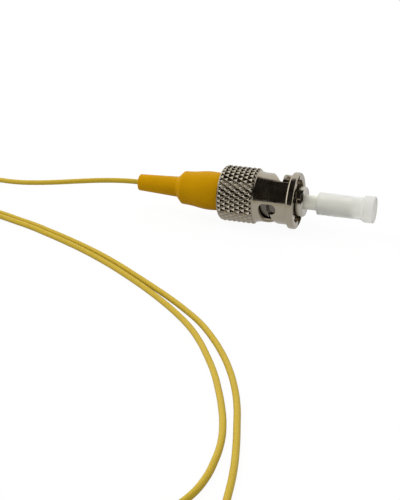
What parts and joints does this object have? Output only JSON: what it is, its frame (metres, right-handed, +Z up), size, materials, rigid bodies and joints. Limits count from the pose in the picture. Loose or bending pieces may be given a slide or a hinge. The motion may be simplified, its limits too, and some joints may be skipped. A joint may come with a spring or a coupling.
{
  "type": "st fibre connector",
  "caption": "Bayonet fibre connector on one buffered fibre: knurled metal coupling nut, keyed barrel, ceramic ferrule under a translucent dust cap, and a yellow rubber boot.",
  "frame": {"origin": "on the ground below the middle of the connector, from the boot's end to the dust cap's end", "axes": "+X along the ferrule, out of the connector; +Z up; the connector lies on the knurl and the rim of its nut"},
  "size_m": [0.097, 0.1113, 0.0096],
  "materials": {
    "nickel_nut": "bright nickel plate",
    "nickel_barrel": "satin nickel plate",
    "spring_steel": "drawn and stamped steel",
    "ceramic": "polished white ceramic",
    "glass": "clear",
    "yellow_rubber": "satin moulded rubber",
    "yellow_buffer": "satin plastic buffer",
    "white_plastic": "plain",
    "cap_plastic": "translucent moulded plastic"
  },
  "bodies": {
    "plug": {"barrel": "nickel_barrel", "ferrule": "ceramic", "ferrule_holder": "nickel_barrel", "glass_fibre": "glass", "retaining_ring": "spring_steel", "boot": "yellow_rubber", "guide_tube": "white_plastic", "buffered_fibre": "yellow_buffer", "coupling_spring": "spring_steel", "fibre_lead": "yellow_buffer", "fibre_coil": "yellow_buffer", "fibre_tail": "yellow_buffer"},
    "washer": {"thrust_washer": "spring_steel"},
    "nut": {"coupling_nut": "nickel_nut"},
    "cap": {"dust_cap": "cap_plastic"}
  },
  "joints": [
    {"name": "nut_push", "type": "slide", "parent": "plug", "child": "washer", "axis": [1, 0, 0], "range_m": [0, 0.002], "stiffness_N_per_m": 2000, "springref_m": -0.0015, "deforming": ["coupling_spring"]},
    {"name": "nut_turn", "type": "hinge", "parent": "washer", "child": "nut", "pos_m": [0, 0, 0.0048], "axis": [1, 0, 0], "continuous": true},
    {"name": "cap_pull", "type": "slide", "parent": "plug", "child": "cap", "axis": [1, 0, 0], "range_m": [0, 0.02]}
  ]
}
